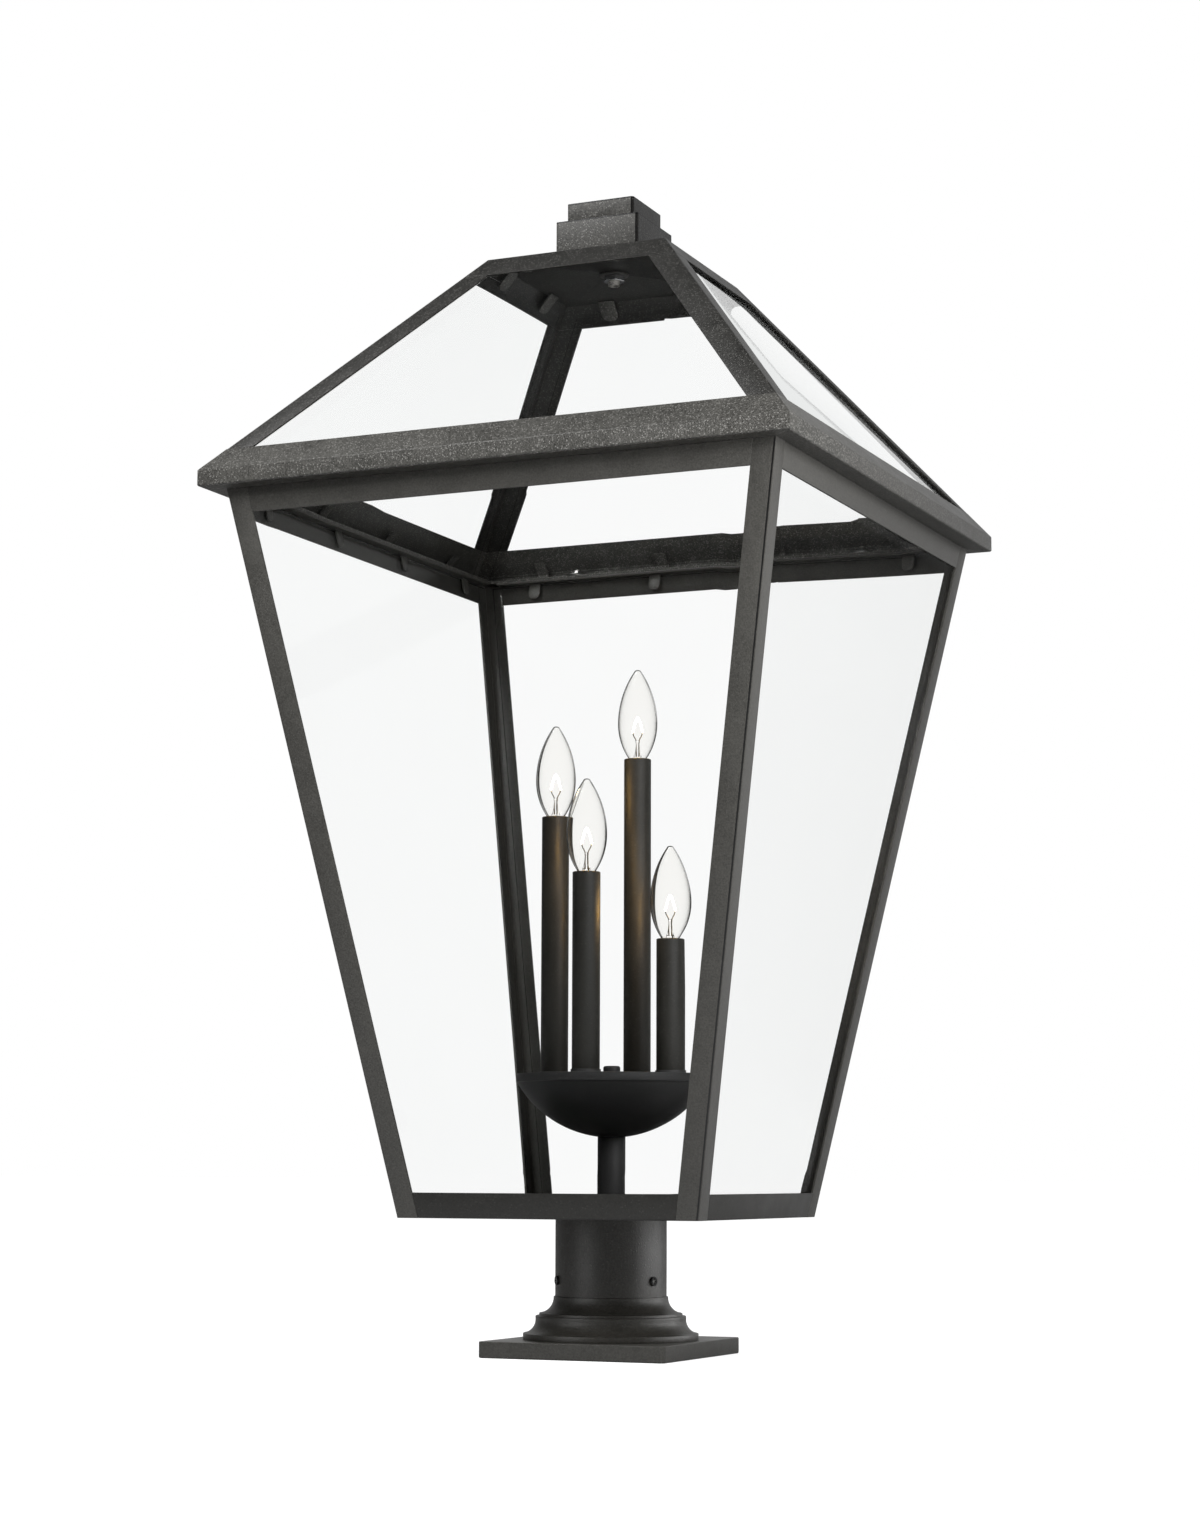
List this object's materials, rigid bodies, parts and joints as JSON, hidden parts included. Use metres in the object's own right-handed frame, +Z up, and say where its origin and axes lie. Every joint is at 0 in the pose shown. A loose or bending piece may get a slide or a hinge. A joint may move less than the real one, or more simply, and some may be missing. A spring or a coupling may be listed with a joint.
{
  "type": "pier mount light",
  "caption": "Square tapered glass lantern with a glazed pyramid roof and stepped cap, stepped candle cluster, round neck and square pier plate.",
  "frame": {"origin": "middle of the pier plate's underside, on the pier", "axes": "+Z up the axis of the neck to the cap, front face to -Y, +X to the right"},
  "size_m": [0.5128, 0.5128, 0.974],
  "materials": {
    "frame_paint": "fine textured powder coat",
    "base_paint": "satin powder coat",
    "pane_glass": "clear, bevelled",
    "bulb_glass": "clear",
    "sleeve_bronze": "satin",
    "bowl_black": "matte",
    "steel": "zinc plated",
    "chrome": "bright",
    "holder_plastic": "matte"
  },
  "bodies": {
    "pier_base": {"pier_plate": "base_paint", "pier_base_moulding": "base_paint"},
    "lantern_head": {"neck": "base_paint", "floor_plate": "frame_paint", "corner_post_front": "frame_paint", "bottom_rail_front": "frame_paint", "top_rail_front": "frame_paint", "side_pane_front": "pane_glass", "corner_post_right": "frame_paint", "bottom_rail_right": "frame_paint", "top_rail_right": "frame_paint", "side_pane_right": "pane_glass", "corner_post_back": "frame_paint", "bottom_rail_back": "frame_paint", "top_rail_back": "frame_paint", "side_pane_back": "pane_glass", "corner_post_left": "frame_paint", "bottom_rail_left": "frame_paint", "top_rail_left": "frame_paint", "side_pane_left": "pane_glass", "side_pane_tabs": "frame_paint", "roof_studs": "steel", "stem_tube": "bowl_black", "stem_rod": "steel", "stem_nut": "steel", "bowl": "bowl_black", "bowl_cover": "bowl_black", "cluster_knob": "bowl_black", "lamp_holders": "holder_plastic", "candle_sleeve_right": "sleeve_bronze", "candle_sleeve_front": "sleeve_bronze", "candle_sleeve_left": "sleeve_bronze", "candle_sleeve_back": "sleeve_bronze"},
    "roof": {"eave_rail_front": "frame_paint", "roof_hip_front": "frame_paint", "roof_pane_front": "pane_glass", "eave_rail_right": "frame_paint", "roof_hip_right": "frame_paint", "roof_pane_right": "pane_glass", "eave_rail_back": "frame_paint", "roof_hip_back": "frame_paint", "roof_pane_back": "pane_glass", "eave_rail_left": "frame_paint", "roof_hip_left": "frame_paint", "roof_pane_left": "pane_glass", "roof_crown": "frame_paint", "roof_pane_tabs": "frame_paint", "roof_nuts": "steel", "cap_lower": "frame_paint", "cap_upper": "frame_paint", "cap_nipple": "steel", "cap_washer": "steel", "cap_nut": "chrome"},
    "right_bulb": {"bulb_right": "bulb_glass"},
    "front_bulb": {"bulb_front": "bulb_glass"},
    "left_bulb": {"bulb_left": "bulb_glass"},
    "back_bulb": {"bulb_back": "bulb_glass"},
    "first_screw": {"set_screw_1": "steel"},
    "second_screw": {"set_screw_2": "steel"},
    "third_screw": {"set_screw_3": "steel"}
  },
  "joints": [
    {"name": "head_turn", "type": "hinge", "parent": "pier_base", "child": "lantern_head", "pos_m": [0, 0, 0.0484], "axis": [0, 0, 1], "range_deg": [-180, 180]},
    {"name": "roof_lift", "type": "slide", "parent": "lantern_head", "child": "roof", "axis": [0, 0, 1], "range_m": [0, 0.12]},
    {"name": "bulb_right_out", "type": "slide", "parent": "lantern_head", "child": "right_bulb", "axis": [0, 0, 1], "range_m": [0, 0.03]},
    {"name": "bulb_front_out", "type": "slide", "parent": "lantern_head", "child": "front_bulb", "axis": [0, 0, 1], "range_m": [0, 0.03]},
    {"name": "bulb_left_out", "type": "slide", "parent": "lantern_head", "child": "left_bulb", "axis": [0, 0, 1], "range_m": [0, 0.03]},
    {"name": "bulb_back_out", "type": "slide", "parent": "lantern_head", "child": "back_bulb", "axis": [0, 0, 1], "range_m": [0, 0.03]},
    {"name": "set_screw_1_out", "type": "slide", "parent": "lantern_head", "child": "first_screw", "axis": [0.9511, -0.309, 0], "range_m": [0, 0.006]},
    {"name": "set_screw_2_out", "type": "slide", "parent": "lantern_head", "child": "second_screw", "axis": [-0.2079, 0.9781, 0], "range_m": [0, 0.006]},
    {"name": "set_screw_3_out", "type": "slide", "parent": "lantern_head", "child": "third_screw", "axis": [-0.7431, -0.6691, 0], "range_m": [0, 0.006]}
  ]
}
